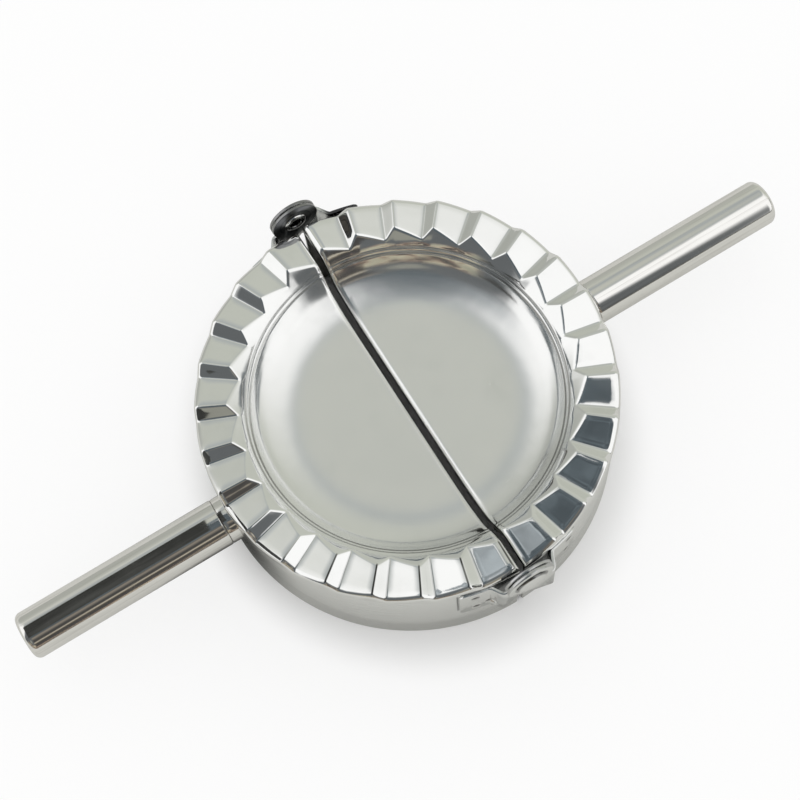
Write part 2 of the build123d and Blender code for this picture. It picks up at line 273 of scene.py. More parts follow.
# %% Cut the blank in bites
STEP_BITE = (1, HALF_STEP - TOOTH_BEND)
BEND_BITE = (4, 2 * TOOTH_BEND)
FACE_BITE = (5, PITCH - 2 * HALF_STEP - 2 * TOOTH_BEND)
SPUN_GAP = 0.001
blank = draw("right_dish_sheet", [(0, -radius, 0) for radius in RINGS])
for tooth in range(TEETH):
    for steps, angle in (STEP_BITE, BEND_BITE, FACE_BITE, BEND_BITE, STEP_BITE):
        spin(steps, angle, (0, 0, 0), (0, 0, 1))
bpy.ops.mesh.select_all(action="SELECT")
bpy.ops.mesh.remove_doubles(threshold=SPUN_GAP * MM)
print("blank has", len(bmesh.from_edit_mesh(blank.data).faces), "faces")

# %% [markdown]
# Pressing moves each vertex to the die's height. No modifier knows this die, so
# the heights are set in code, vertex by vertex. Then the straight side is
# trimmed with bisect, a bend's width short of where its lip will stand.

# %% Press the blank, then trim its straight side
TRIM_GAP = 0.01
MIDDLE = 1e-6
SPLIT_EDGE = HALF_GAP + BEND_RADIUS
work = bmesh.from_edit_mesh(blank.data)
for vert in work.verts:
    x, y = vert.co.x / MM, vert.co.y / MM
    angle = degrees(atan2(y, x)) if hypot(x, y) > MIDDLE else 0.0
    radius = slid(hypot(x, y), angle)
    turn = radians(angle)
    vert.co = Vector((radius * cos(turn), radius * sin(turn), pressed(radius, angle))) * MM
bmesh.update_edit_mesh(blank.data)
bpy.ops.mesh.select_all(action="SELECT")
bpy.ops.mesh.bisect(
    plane_co=(SPLIT_EDGE * MM, 0, 0), plane_no=(1, 0, 0), clear_inner=True, threshold=TRIM_GAP * MM
)
bpy.ops.mesh.select_all(action="SELECT")
bpy.ops.mesh.remove_doubles(threshold=TRIM_GAP * MM)
bpy.ops.mesh.normals_make_consistent(inside=False)
work = bmesh.from_edit_mesh(blank.data)
if sum(face.normal.z for face in work.faces) < 0:
    bpy.ops.mesh.flip_normals()
print("pressed sheet has", len(work.faces), "faces")

# %% [markdown]
# The lips are bent one short extrusion at a time. The open edge of the sheet is
# extruded, and each new row is moved outward and down along a quarter circle.
# The last row goes straight down: to the top of the cutter band round the rim,
# and a little below the pan's wall along the split. A bevel can't do this, since
# there is no second face yet to bevel against.

# %% Where each point of the open edge goes
LIP_DEPTH = 2.2
SLOPE_STEP = 0.1


def edge_directions(work):
    """The outward direction in plan of each open vertex: straight off the split, or out from the middle."""
    directions = {}
    side = Vector((-1, 0, 0))
    for vert in work.verts:
        if not vert.is_boundary:
            continue
        out = Vector((vert.co.x, vert.co.y, 0)).normalized()
        on_split = vert.co.x / MM < SPLIT_EDGE + TRIM_GAP
        on_rim = hypot(vert.co.x, vert.co.y) / MM > BLANK_RADIUS - 2 * TRIM_GAP
        if on_split and on_rim:
            directions[vert.index] = (side + out) / (1 + side.dot(out))
        else:
            directions[vert.index] = side if on_split else out
    return directions


def lip_bottom(x, y):
    """How far down the lip reaches at a place on the outline."""
    radius = hypot(x, y)
    slope = (wall_height(radius + SLOPE_STEP) - wall_height(radius - SLOPE_STEP)) / (2 * SLOPE_STEP)
    under_wall = FLANGE_HEIGHT + wall_height(radius) - LIP_DEPTH * sqrt(1 + slope * slope)
    return min(FLANGE_HEIGHT - RIM_DROP, under_wall)


def key_of(place):
    """A place as a key, to find an extruded vertex by the one that it came from."""
    return tuple(round(number, 8) for number in place)


# %% Bend the rim and the straight side down
BEND_STEPS = 6
LEAST_LIP = 0.05
bpy.ops.mesh.select_mode(type="EDGE")
bpy.ops.mesh.select_all(action="DESELECT")
work = bmesh.from_edit_mesh(blank.data)
work.verts.index_update()
work.verts.ensure_lookup_table()
for edge in work.edges:
    if edge.is_boundary:
        edge.select_set(True)
starts = {}
for index, direction in edge_directions(work).items():
    start = work.verts[index].co.copy()
    starts[key_of(start)] = (start, direction)
bmesh.update_edit_mesh(blank.data)
for step in range(1, BEND_STEPS + 2):
    bpy.ops.mesh.extrude_region_move(TRANSFORM_OT_translate={"value": (0, 0, 0)})
    work = bmesh.from_edit_mesh(blank.data)
    turn = min(step / BEND_STEPS, 1) * pi / 2
    ends = {}
    for vert in [vert for vert in work.verts if vert.select]:
        start, direction = starts[key_of(vert.co)]
        place = start + direction * BEND_RADIUS * MM * sin(turn)
        place.z = start.z - BEND_RADIUS * MM * (1 - cos(turn))
        if step > BEND_STEPS:
            place.z = min(place.z - LEAST_LIP * MM, lip_bottom(place.x / MM, place.y / MM) * MM)
        vert.co = place
        ends[key_of(place)] = (start, direction)
    starts = ends
    bmesh.update_edit_mesh(blank.data)
print("lip has", len(starts), "points along its edge")

# %% Thicken the sheet and copy it for the other half
bpy.ops.mesh.select_mode(type="VERT")
bpy.ops.object.mode_set(mode="OBJECT")
right_dish = blank
apply(right_dish, "SOLIDIFY", thickness=SHEET * MM, offset=-1, use_even_offset=True)
smooth(right_dish, 40)
left_dish = copied(right_dish, "left_dish_sheet", turn=180)

# %% [markdown]
# ## The cutter bands
#
# Each band is a straight strip rolled to a half circle under the flange. A
# strip could be drawn flat and bent, but its section is the same all along, so
# the section is drawn once and spun. The ends are cut square with bisect, and
# the corners get a small bevel so that they catch the light.

# %% Spin the section of the band
BAND_RADIUS = 47.25
BAND_TOP = FLANGE_HEIGHT - RIM_DROP - 0.05
EDGE_BREAK = 0.12
BAND_STEPS = 120
band_section = [(0, -BAND_RADIUS + SHEET, 0), (0, -BAND_RADIUS, 0), (0, -BAND_RADIUS, BAND_TOP)]
band_section += [(0, -BAND_RADIUS + SHEET, BAND_TOP)]
right_band = draw("right_band_wall", band_section, closed=True)
spin(BAND_STEPS, 180, (0, 0, 0), (0, 0, 1))
outward()
bpy.ops.mesh.select_all(action="SELECT")
bpy.ops.mesh.bisect(plane_co=(HALF_GAP * MM, 0, 0), plane_no=(1, 0, 0), clear_inner=True, use_fill=True)
outward()
bpy.ops.object.mode_set(mode="OBJECT")
apply(right_band, "BEVEL", width=EDGE_BREAK * MM, segments=2, limit_method="ANGLE", angle_limit=radians(40))
smooth(right_band)
left_band = copied(right_band, "left_band_wall", turn=180)

# %% [markdown]
# ## The hinge leaves
#
# A leaf is a flat cut-out: a round ear with a foot. The foot is spot-welded to
# the band, and a small joggle brings the ear out, so that one ear passes in
# front of the other. The outline is drawn flat and filled, cut into narrow
# strips where the bends will be, moved onto its bent line, and thickened. Drawn
# flat first, it keeps one even thickness through every bend, as stamped sheet does.

# %% Outline of a leaf
PIVOT_HEIGHT = FLANGE_HEIGHT + 0.3
EAR_RADIUS = 5.8
EAR_STEPS = 40
LEAF_TOP = FLANGE_HEIGHT - 2.25
LEAF_BOTTOM = FLANGE_HEIGHT - 15.5
FOOT_RADIUS = 47.6
FOOT_END = FOOT_RADIUS * sin(radians(18))
HEEL = 7.5
CORNER = 1.2
CORNER_STEPS = 5


def leaf_outline(top):
    """The leaf seen from the front: x to the folding side, z up, counter-clockwise."""
    away = hypot(HEEL, PIVOT_HEIGHT - LEAF_BOTTOM)
    length = sqrt(away**2 - EAR_RADIUS**2)
    tangent = atan2(PIVOT_HEIGHT - LEAF_BOTTOM, -HEEL) + atan2(EAR_RADIUS, length)
    touch = (HEEL + length * cos(tangent), LEAF_BOTTOM + length * sin(tangent))
    first = atan2(top - PIVOT_HEIGHT, sqrt(EAR_RADIUS**2 - (top - PIVOT_HEIGHT) ** 2))
    last = atan2(touch[1] - PIVOT_HEIGHT, touch[0]) % (2 * pi)
    points = []
    for part in range(EAR_STEPS + 1):
        angle = first + (last - first) * part / EAR_STEPS
        points.append((EAR_RADIUS * cos(angle), PIVOT_HEIGHT + EAR_RADIUS * sin(angle)))
    points.append((HEEL, LEAF_BOTTOM))
    for middle_z, start in ((LEAF_BOTTOM + CORNER, -90), (top - CORNER, 0)):
        for part in range(CORNER_STEPS + 1):
            angle = radians(start + 90 * part / CORNER_STEPS)
            points.append((FOOT_END - CORNER + CORNER * cos(angle), middle_z + CORNER * sin(angle)))
    return points


print("leaf outline has", len(leaf_outline(LEAF_TOP)), "corners")

# %% The bent line of a leaf
FOOT_START = FOOT_RADIUS * sin(radians(9.5))
JOGGLE_END = 6.1
JOGGLE_BEND = 0.45
FLARE_SHARE = 0.6
FLARE_HEIGHT = 3.4
FLARE_RUN = 1.8


def eased(share):
    """Goes smoothly from 0 to 1."""
    share = min(max(share, 0.0), 1.0)
    return share * share * (3 - 2 * share)


def leaf_line(x, ear_y):
    """Distance of the leaf's middle from the split's middle, at x along it."""
    foot = sqrt(FOOT_RADIUS**2 - max(x, FOOT_START) ** 2)
    start = sqrt(FOOT_RADIUS**2 - FOOT_START**2)
    slope = (ear_y - start) / (FOOT_START - JOGGLE_END)
    return foot + slope * (ramp(FOOT_START - x, JOGGLE_BEND) - ramp(JOGGLE_END - x, JOGGLE_BEND))


def bend_leaf(piece, ear_y, lift):
    """Moves a flat leaf onto its bent line. With a lift, its top edge flares outward over the foot."""
    work = bmesh.from_edit_mesh(piece.data)
    for vert in work.verts:
        x, z = vert.co.x / MM, vert.co.z / MM
        flare = eased((z - LEAF_TOP + FLARE_HEIGHT) / FLARE_HEIGHT) * eased((x - JOGGLE_END) / FLARE_RUN)
        vert.co.y = -(leaf_line(x, ear_y) + lift * FLARE_SHARE * flare) * MM
    bmesh.update_edit_mesh(piece.data)


# %% [markdown]
# The ear's bore and the spot welds are cut with booleans, which suits them
# because each is one simple tool: a pin through the ear, and a ball that dents
# the foot where the welding tip pressed it. The tool is removed after its cut.

# %% Tools that cut bores and dents
BALL_RADIUS = 1.5
DENT_DEPTH = 0.36
BORE_RADIUS = 2.15
PIN_LENGTH = 4


def dimple_ball(angle, drop):
    """A ball that dents the outer face of the foot where a spot weld is."""
    away = FOOT_RADIUS + SHEET / 2 + BALL_RADIUS - DENT_DEPTH
    turn = radians(FRONT + angle)
    place = Vector((away * cos(turn), away * sin(turn), FLANGE_HEIGHT - drop)) * MM
    bpy.ops.mesh.primitive_uv_sphere_add(radius=BALL_RADIUS * MM, segments=24, ring_count=16, location=place)
    return bpy.context.object


def bore_pin(ear_y):
    """A pin through the ear, to cut its bore."""
    bpy.ops.mesh.primitive_cylinder_add(
        radius=BORE_RADIUS * MM, depth=PIN_LENGTH * MM, vertices=48,
        location=Vector((0, -ear_y, PIVOT_HEIGHT)) * MM, rotation=(pi / 2, 0, 0),
    )
    return bpy.context.object


def cut_away(piece, tool):
    """Takes the tool's volume out of the piece, and removes the tool."""
    apply(piece, "BOOLEAN", operation="DIFFERENCE", object=tool, solver="EXACT")
    bpy.data.objects.remove(tool)


# %% Cut, bend and thicken a leaf
BEND_CUTS = [4.8 + 0.2 * step for step in range(22)]
FOOT_CUTS = [9.6 + 0.55 * step for step in range(10)]
LEVEL_CUTS = [0.6 * step for step in range(1, 9)]
LEAF_BREAK = 0.14


def front_leaf(name, ear_y, dimples, lift=0.0):
    """A front leaf of the folding half. With a lift, its foot's top edge reaches up outside the rim."""
    piece = draw(name, [(x, 0, z) for x, z in leaf_outline(LEAF_TOP + lift)], closed=True)
    bpy.ops.mesh.edge_face_add()
    for x in BEND_CUTS + FOOT_CUTS:
        bpy.ops.mesh.select_all(action="SELECT")
        bpy.ops.mesh.bisect(plane_co=(x * MM, 0, 0), plane_no=(1, 0, 0))
    if lift:
        for drop in LEVEL_CUTS:
            bpy.ops.mesh.select_all(action="SELECT")
            bpy.ops.mesh.bisect(plane_co=(0, 0, (LEAF_TOP + lift - drop) * MM), plane_no=(0, 0, 1))
    bend_leaf(piece, ear_y, lift)
    bpy.ops.mesh.select_all(action="SELECT")
    bpy.ops.mesh.normals_make_consistent(inside=False)
    bpy.ops.object.mode_set(mode="OBJECT")
    apply(piece, "SOLIDIFY", thickness=SHEET * MM, offset=0, use_even_offset=True)
    cut_away(piece, bore_pin(ear_y))
    for angle, drop in dimples:
        cut_away(piece, dimple_ball(angle, drop))
    apply(piece, "BEVEL", width=LEAF_BREAK * MM, segments=2, limit_method="ANGLE", angle_limit=radians(50))
    smooth(piece)
    return piece


# %% Four leaves: the outer pair on the folding half, the inner pair on the other
OUTER_EAR = 50.7
INNER_EAR = 49.65
# Spot welds: degrees along the band from the split, and how far below the flange.
RIGHT_WELDS = [(15.5, 5.6), (14.9, 12.6)]
LEFT_WELDS = [(13.6, 5.8), (13.4, 13.0), (9.9, 11.5)]
right_front_leaf = front_leaf("right_front_hinge_leaf", OUTER_EAR, RIGHT_WELDS)
lifted_leaf = front_leaf("lifted_leaf", OUTER_EAR, RIGHT_WELDS, lift=1.15)
right_rear_leaf = copied(lifted_leaf, "right_rear_hinge_leaf", resize=(1, -1, 1))
inner_leaf = front_leaf("inner_leaf", INNER_EAR, LEFT_WELDS)
left_front_leaf = copied(inner_leaf, "left_front_hinge_leaf", resize=(-1, 1, 1))
left_rear_leaf = copied(inner_leaf, "left_rear_hinge_leaf", turn=180)
for pattern in (lifted_leaf, inner_leaf):
    bpy.data.objects.remove(pattern)

# %% [markdown]
# ## The rivets
#
# A rivet is a turned part with a domed head outside and a hollow end that is
# curled over inside. Its section is drawn from the crown round to the curl and
# spun about the pivot, which gives head, shank and curl in one move.

# %% Spin a rivet
HEAD_Y = 51.1
CROWN = [(0, 1.1), (1.2, 1.06), (2.2, 0.93), (2.9, 0.72), (3.4, 0.45), (3.65, 0.22), (3.7, 0.1), (3.66, 0)]
CURL = [(2.1, 49.3), (2.68, 49.26), (2.75, 49.12), (2.66, 48.94), (2.4, 48.85), (1.9, 48.85), (1.62, 48.92)]
HOLLOW = [(1.5, 49.1), (1.5, 50.55), (0, 50.55)]
RIVET_STEPS = 64
rivet_section = [(x, HEAD_Y + y) for x, y in CROWN] + [(2.1, HEAD_Y)] + CURL + HOLLOW
rear_rivet = draw("rear_hinge_rivet", [(x, y, PIVOT_HEIGHT) for x, y in rivet_section])
spin(RIVET_STEPS, 360, (0, 0, PIVOT_HEIGHT), (0, 1, 0))
outward()
bpy.ops.object.mode_set(mode="OBJECT")
smooth(rear_rivet)
front_rivet = copied(rear_rivet, "front_hinge_rivet", resize=(1, -1, 1))

# %% [markdown]
# ## The handles
#
# Each handle is a tube with a rounded closed end, over a short collar that sits
# on the band. Both are turned parts too, so both are drawn as sections and spun.
# The tube's wall gets extra points beside its two ends: smooth shading spreads
# an end's bend along the whole wall unless a short straight piece holds it.

# %% Turn a section about the handle's axis
HANDLE_HEIGHT = FLANGE_HEIGHT - 13.0
HANDLE_RADIUS = 5.6
HANDLE_TIP = 99.2
COLLAR_END = 49.45
END_ROUND = 1.6
END_STEPS = 8
TURN_STEPS = 80


def turned(name, section, closed=False):
    """A part turned about the handle's axis, from points along it and out from it."""
    piece = draw(name, [(x, 0, HANDLE_HEIGHT + away) for x, away in section], closed)
    spin(TURN_STEPS, 360, (0, 0, HANDLE_HEIGHT), (1, 0, 0))
    outward()
    bpy.ops.object.mode_set(mode="OBJECT")
    return piece


# %% Spin the tubes
END_START = HANDLE_TIP - END_ROUND
# The edge beside the collar: how far along the tube, and how far in from its wall.
TUBE_EDGE = [(0, 0.25), (0.08, 0.08), (0.25, 0), (0.5, 0), (0.9, 0)]
TIP_HOLDS = [0.9, 0.4]
tube_section = [(COLLAR_END, 0)]
tube_section += [(COLLAR_END + along, HANDLE_RADIUS - inset) for along, inset in TUBE_EDGE]
tube_section += [(END_START - back, HANDLE_RADIUS) for back in TIP_HOLDS]
for part in range(END_STEPS + 1):
    turn = radians(90 * part / END_STEPS)
    tube_section.append((END_START + END_ROUND * sin(turn), HANDLE_RADIUS - END_ROUND * (1 - cos(turn))))
tube_section.append((HANDLE_TIP, 0))
right_tube = turned("right_handle_shell", tube_section)
smooth(right_tube)
left_tube = copied(right_tube, "left_handle_shell", turn=180)

# %% Spin the collars and fit them to the band
COLLAR_START = 46.6
COLLAR_BORE = 2.05
COLLAR_INSET = 0.05
BAND_DEPTH = 80
BAND_FACETS = 480
# The collar's outer edge: how far back from its end, and how far in from the tube's wall.
COLLAR_EDGE = [(0.3, COLLAR_INSET), (0.06, 0.12), (0, 0.3)]
collar_section = [(COLLAR_START, COLLAR_BORE), (COLLAR_START, HANDLE_RADIUS - COLLAR_INSET)]
collar_section += [(COLLAR_END - back, HANDLE_RADIUS - inset) for back, inset in COLLAR_EDGE]
collar_section += [(COLLAR_END, COLLAR_BORE)]
right_collar = turned("right_handle_collar", collar_section, closed=True)
bpy.ops.mesh.primitive_cylinder_add(radius=BAND_RADIUS * MM, depth=BAND_DEPTH * MM, vertices=BAND_FACETS)
cut_away(right_collar, bpy.context.object)
smooth(right_collar)
left_collar = copied(right_collar, "left_handle_collar", turn=180)

# %% [markdown]
# ## Riding, replacing and slots
#
# The press folds, so each new piece rides on the body that carries it: what is
# fixed to the right half swings with it, and the rivets stay with the left half.
# Each piece also replaces the plain solid that it was modelled after, and names
# the slot that its finish goes by. One table keeps the four things together, so
# that no piece is forgotten.

# %% Put each piece on its body
PIECES = [
    (right_dish, "right_half", "right_dish", "pressed_steel"),
    (left_dish, "left_half", "left_dish", "pressed_steel"),
    (right_band, "right_half", "right_cutter_band", "band_steel"),
    (left_band, "left_half", "left_cutter_band", "band_steel"),
    (right_front_leaf, "right_half", "right_front_leaf", "leaf_steel"),
    (right_rear_leaf, "right_half", "right_rear_leaf", "leaf_steel"),
    (left_front_leaf, "left_half", "left_front_leaf", "leaf_steel"),
    (left_rear_leaf, "left_half", "left_rear_leaf", "leaf_steel"),
    (front_rivet, "left_half", "front_rivet", "rivet_steel"),
    (rear_rivet, "left_half", "rear_rivet", "rivet_steel"),
    (right_tube, "right_half", "right_handle_tube", "handle_steel"),
    (left_tube, "left_half", "left_handle_tube", "handle_steel"),
    (right_collar, "right_half", "right_handle_cap", "handle_steel"),
    (left_collar, "left_half", "left_handle_cap", "handle_steel"),
]
for piece, body, node, slot in PIECES:
    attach(piece, body)
    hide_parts(node)
print(len(PIECES), "pieces ride on their bodies")

# %% [markdown]
# ## Finishes
#
# A finish is a small program of shader nodes. It could be wired by hand, but it
# reads far better as arithmetic, so one class wraps a node's output, and adding
# or multiplying two of them adds the Math node that does it. The reflected forms
# let a plain number stand on the left, as in 1 - mask.

# %% Shader arithmetic
class Signal:
    """A node's output that can be used in sums: each operation adds its Math node."""

    def __init__(self, tree, socket):
        self.tree = tree
        self.socket = socket

    def __add__(self, other):
        return self.tree.maths("ADD", self, other)

    def __radd__(self, other):
        return self.tree.maths("ADD", other, self)

    def __sub__(self, other):
        return self.tree.maths("SUBTRACT", self, other)

    def __rsub__(self, other):
        return self.tree.maths("SUBTRACT", other, self)

    def __mul__(self, other):
        return self.tree.maths("MULTIPLY", self, other)

    def __rmul__(self, other):
        return self.tree.maths("MULTIPLY", other, self)

    def __truediv__(self, other):
        return self.tree.maths("DIVIDE", self, other)

    def __rtruediv__(self, other):
        return self.tree.maths("DIVIDE", other, self)

    def __pow__(self, other):
        return self.tree.maths("POWER", self, other)

    def __rpow__(self, other):
        return self.tree.maths("POWER", other, self)

    def __abs__(self):
        return self.tree.maths("ABSOLUTE", self)


# %% [markdown]
# Any other node comes from one method of the tree, which takes the node's type,
# its settings and the values or links of its sockets. Most masks are soft steps
# between two values, so those get names of their own: a mask rises, falls, or is
# a thin line.

# %% The tree that the nodes grow on
class Tree:
    """The nodes of one material or of the world."""

    def __init__(self, owner):
        owner.use_nodes = True
        self.nodes = owner.node_tree.nodes
        self.links = owner.node_tree.links
        self.nodes.clear()

    def node(self, kind, settings=None, *values, output=0, **named):
        """Adds a node, makes its settings, fills its sockets in order or by name, and returns an output."""
        node = self.nodes.new(kind)
        for key, value in (settings or {}).items():
            if key == "stops":
                ramp_stops = node.color_ramp.elements
                while len(ramp_stops) < len(value):
                    ramp_stops.new(0.5)
                for stop, (place, colour) in zip(ramp_stops, value):
                    stop.position = place
                    stop.color = (*colour, 1)
            else:
                setattr(node, key, value)
        sockets = [(node.inputs[index], value) for index, value in enumerate(values)]
        sockets += [(node.inputs[key.replace("_", " ")], value) for key, value in named.items()]
        for socket, value in sockets:
            self.fill(socket, value)
        return Signal(self, node.outputs[output]) if node.outputs else None

    def fill(self, socket, value):
        """Links a signal to a socket, or sets a number or a colour on it."""
        if isinstance(value, Signal):
            self.links.new(value.socket, socket)
        elif socket.type == "RGBA" and len(value) == 3:
            socket.default_value = (*value, 1)
        else:
            socket.default_value = value

    def maths(self, operation, *values):
        """A Math node."""
        return self.node("ShaderNodeMath", {"operation": operation}, *values)

    def outputs(self, kind, *values):
        """All the outputs of a node, by name."""
        node = self.node(kind, None, *values).socket.node
        return {socket.name: Signal(self, socket) for socket in node.outputs}

    def between(self, value, low, high, start=0.0, end=1.0):
        """Goes smoothly from start to end while the value goes from low to high."""
        curve = {"interpolation_type": "SMOOTHSTEP"}
        return self.node("ShaderNodeMapRange", curve, value, low, high, start, end)

    def rises(self, value, low, high, most=1.0):
        """Nothing below low, and the most from high on."""
        return self.between(value, low, high, 0.0, most)

    def falls(self, value, low, high, most=1.0):
        """The most up to low, and nothing from high on."""
        return self.between(value, low, high, most, 0.0)

    def line(self, value, core, edge, most=1.0):
        """A soft line where the value is nought, full within the core and gone past the edge."""
        return self.falls(abs(value), core, edge, most)

    def blend(self, share, first, second):
        """A colour that goes from the first to the second as the share goes from 0 to 1."""
        node = self.nodes.new("ShaderNodeMix")
        node.data_type = "RGBA"
        for index, value in ((0, share), (6, first), (7, second)):
            self.fill(node.inputs[index], value)
        return Signal(self, node.outputs[2])


# %% [markdown]
# Every finish starts from the same two things: the object coordinates turned to
# millimetres, and noise of a known grain. Noise on stretched coordinates gives
# drawn or brushed lines, and slow noise gives the faint waves that rolled sheet
# keeps after pressing. The waves matter most, since a mirror shows them at once.

# %% Coordinates, grain and bump
def coordinates(tree):
    """The place on the object in millimetres, whole and as x, y and z."""
    spot = tree.node("ShaderNodeTexCoord", None, output=3)
    spot = tree.node("ShaderNodeVectorMath", {"operation": "SCALE"}, spot, Scale=1 / MM)
    return spot, list(tree.outputs("ShaderNodeSeparateXYZ", spot).values())


def distance(first, second):
    """How far a point lies from where both of these are nought."""
    return (first * first + second * second) ** 0.5


def grain(tree, spot, scale, detail=2.0, roughness=0.5):
    """Noise from 0 to 1 with this many grains to the millimetre."""
    return tree.node("ShaderNodeTexNoise", None, spot, Scale=scale, Detail=detail, Roughness=roughness)


def joined(tree, x, y, z):
    """A vector from three numbers."""
    return tree.node("ShaderNodeCombineXYZ", None, x, y, z)


def relief(tree, height, depth, below=None):
    """Turns a height from 0 to 1 into bumps of a depth in millimetres, over the bumps below."""
    under = {"Normal": below} if below else {}
    return tree.node("ShaderNodeBump", None, Strength=1.0, Distance=depth * MM, Height=height, **under)


def finish(name, tree_maker):
    """A metal made by a function that returns its colour, roughness and normal."""
    material = bpy.data.materials.new(name)
    tree = Tree(material)
    colour, rough, normal = tree_maker(tree)
    shader = tree.node(
        "ShaderNodeBsdfPrincipled", None, Base_Color=colour, Metallic=1.0, Roughness=rough, Normal=normal
    )
    tree.node("ShaderNodeOutputMaterial", None, shader)
    print(name, "has", len(tree.nodes), "nodes")
    return material


# %% [markdown]
# The dishes are bright annealed sheet. The dies leave the flange and its teeth
# almost a mirror, while the pan, which was drawn deeper, is satin with fine rings
# round it. The finish tells them apart by the distance from the middle. It could
# be three materials on three sets of faces, but then each would end at a hard line.
#
# The crease is darkened by painted shade, most at the front, and the teeth at the
# front left have thin lines of painted shade along their ridges and valleys.

# %% Painted shade along the teeth
def tooth_line_shade(tree, x, y, radius):
    """A mask of thin painted shade lines along the ridges and valleys of the teeth at the front left."""
    turns = (tree.maths("ARCTAN2", y, x) * (180 / pi) + 90 + PITCH / 2) / PITCH
    along = tree.maths("FRACT", turns) * PITCH - PITCH / 2
    ridge = tree.line(along + HALF_STEP + 0.25, 0.14, 0.4) * tree.rises(radius, 39.6, 40.3)
    valley = tree.line(along - HALF_STEP, 0.1, 0.3, 0.35) * tree.rises(radius, 37.6, 38.4)
    front_left = tree.rises(x * -0.35 - y * 0.94, 28.0, 35.0) * tree.falls(x, -2.0, 3.0)
    return (ridge + valley) * front_left * tree.falls(radius, 46.5, 47.0)


# %% Pressed steel of the dishes
def pressed_finish(tree):
    bright, dull, touched = (0.955, 0.955, 0.94), (0.90, 0.905, 0.895), (0.83, 0.835, 0.80)
    # Dark tones for the painted shade on the teeth's lines and in the crease.
    line_shade_dark, crease_shade = (0.07, 0.07, 0.067), (0.2, 0.2, 0.185)
    spot, (x, y, z) = coordinates(tree)
    radius = distance(x, y)
    pan = tree.falls(radius, 30.5, 35.5)
    wall = tree.falls(radius, 36.5, 39.5)
    round_pan = joined(tree, x / (radius + 0.5) * 4, y / (radius + 0.5) * 4, radius * 3.0)
    rings = grain(tree, round_pan, 1.0, 3.0, 0.6)
    waves = grain(tree, spot, 0.16, 1.0)
    mottle = grain(tree, spot, 0.09, 3.0, 0.6)
    peel = grain(tree, spot, 1.7, 2.0)
    touch = tree.rises(grain(tree, spot, 0.045, 4.0, 0.65), 0.52, 0.72)
    # Painted shade in the two fine steps of the crease, strongest at the front.
    crease = tree.line(radius - 35.47, 0.1, 0.3, 0.8) + tree.line(radius - 36.27, 0.1, 0.28, 0.65)
    # Painted shade lines along the teeth at the front left, broken up by the mottle.
    tooth_shade = tooth_line_shade(tree, x, y, radius) * tree.between(mottle, 0.3, 0.6, 0.6, 1.0)
    colour = tree.blend(mottle, bright, dull)
    colour = tree.blend(touch * 0.35, colour, touched)
    colour = tree.blend(tooth_shade, colour, line_shade_dark)
    colour = tree.blend(crease * tree.between(y, 6.0, 20.0, 1.0, 0.3), colour, crease_shade)
    rough = 0.05 + pan * 0.12 + wall * 0.035 + rings * (0.02 + pan * 0.05) + touch * 0.03
    normal = relief(tree, waves, 0.055)
    normal = relief(tree, peel * pan, 0.0022, normal)
    return colour, rough, normal


# %% [markdown]
# The cutter bands are strip from a roll, brushed lengthwise, so their lines run
# round the press: noise is squeezed in height and stretched along the strip.
# Outside they have a heat stain round each handle, painted shade behind the hinges,
# and a fine seam by each leaf, partly painted shadow. All of it is paint in one
# material, because none of it has a thickness that a finger would feel.

# %% Brushed steel of the bands
def band_finish(tree):
    bright, dull, foot = (0.93, 0.935, 0.925), (0.84, 0.845, 0.835), (0.72, 0.725, 0.715)
    heated, shaded, seam_and_gap_shade = (0.3, 0.29, 0.275), (0.05, 0.052, 0.056), (0.12, 0.12, 0.12)
    spot, (x, y, z) = coordinates(tree)
    across = abs(x)
    lines = grain(tree, joined(tree, x * 0.05, y * 0.05, z * 5.0), 1.0, 4.0, 0.7)
    waves = grain(tree, spot, 0.07, 1.0)
    cloud = grain(tree, spot, 0.05, 3.0, 0.6)
    low = tree.falls(z, 0.0, 7.0)
    outer = tree.rises(distance(x, y), 46.75, 47.0)
    # Painted shade on the band's outer face behind the ears of each hinge.
    hinge = tree.falls(across, 7.0, 9.5) * tree.rises(z, 9.0, 16.0) * outer
    weld = tree.falls(distance(y, z - HANDLE_HEIGHT), 5.5, 15.0, 0.75) * (0.6 + cloud * 0.5)
    # A thin dark line at each leaf's end: partly the seam, partly painted shadow of the leaf's edge.
    seam = tree.line(across - 14.85, 0.08, 0.3, 0.8) * tree.rises(z, 14.2, 14.8) * outer
    colour = tree.blend(cloud, bright, dull)
    colour = tree.blend(low * 0.3, colour, foot)
    colour = tree.blend(weld, colour, heated)
    colour = tree.blend(hinge * (0.85 + cloud * 0.15), colour, shaded)
    colour = tree.blend(seam, colour, seam_and_gap_shade)
    rough = 0.17 + lines * 0.12 + cloud * 0.05
    normal = relief(tree, waves, 0.05)
    normal = relief(tree, lines, 0.0012, normal)
    return colour, rough, normal


# %% [markdown]
# The leaves are stamped from the same strip and tumbled. Round the pivot their
# inner faces have painted shade, a ring of painted shadow lies round the rivet's
# head, and each spot weld leaves a burnt mark in its dimple. The ears' edges, the
# joggles and the lifted top of the rear leaf carry painted shade too. Both hinges
# are alike, so the marks are placed on the absolute of y, once for front and rear.

# %% Marks on the leaves
WELD_RADIUS = 47.9


def weld_marks(tree, folded):
    """A mask of the burnt marks in the dimples, the same at both hinges."""
    burnt = 0.0
    for half, welds in ((1, RIGHT_WELDS), (-1, LEFT_WELDS)):
        for angle, drop in welds:
            turn = radians(angle)
            middle = (half * WELD_RADIUS * sin(turn), WELD_RADIUS * cos(turn), FLANGE_HEIGHT - drop)
            away = tree.node("ShaderNodeVectorMath", {"operation": "DISTANCE"}, folded, middle, output=1)
            burnt = tree.falls(away, 0.5, 1.25) + burnt
    return burnt


